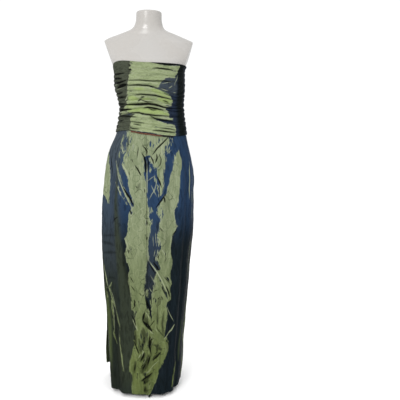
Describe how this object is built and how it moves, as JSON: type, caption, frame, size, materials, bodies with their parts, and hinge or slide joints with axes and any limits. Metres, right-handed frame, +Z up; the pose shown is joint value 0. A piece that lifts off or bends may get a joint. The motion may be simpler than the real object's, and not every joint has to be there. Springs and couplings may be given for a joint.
{
  "type": "evening gown on a dress form",
  "caption": "Strapless evening gown of green and navy shot taffeta: ruched bodice over a long straight skirt with a side slit, worn on a limbless dress form.",
  "frame": {"origin": "centre of the underside of the stand's base plate, on the floor", "axes": "+Z up, -Y towards the front of the gown, +X towards the wearer's left side"},
  "size_m": [0.3827, 0.3375, 1.508],
  "materials": {
    "ruched_taffeta": "crisp two-colour shot taffeta, gathered",
    "shot_taffeta": "crisp two-colour shot taffeta with a sheen",
    "edge_strip": "matt red-brown edge",
    "moulded_form": "smooth off-white gloss",
    "enamelled_steel": "off-white enamel"
  },
  "bodies": {
    "root": {"bodice_front": "ruched_taffeta", "bodice_side_right": "ruched_taffeta", "bodice_side_left": "ruched_taffeta", "bodice_back": "ruched_taffeta", "bodice_edge_strip": "edge_strip", "skirt_front_right": "shot_taffeta", "skirt_front_left": "shot_taffeta", "skirt_back": "shot_taffeta", "form_torso": "moulded_form", "form_pole": "enamelled_steel", "form_base": "enamelled_steel"}
  },
  "joints": []
}
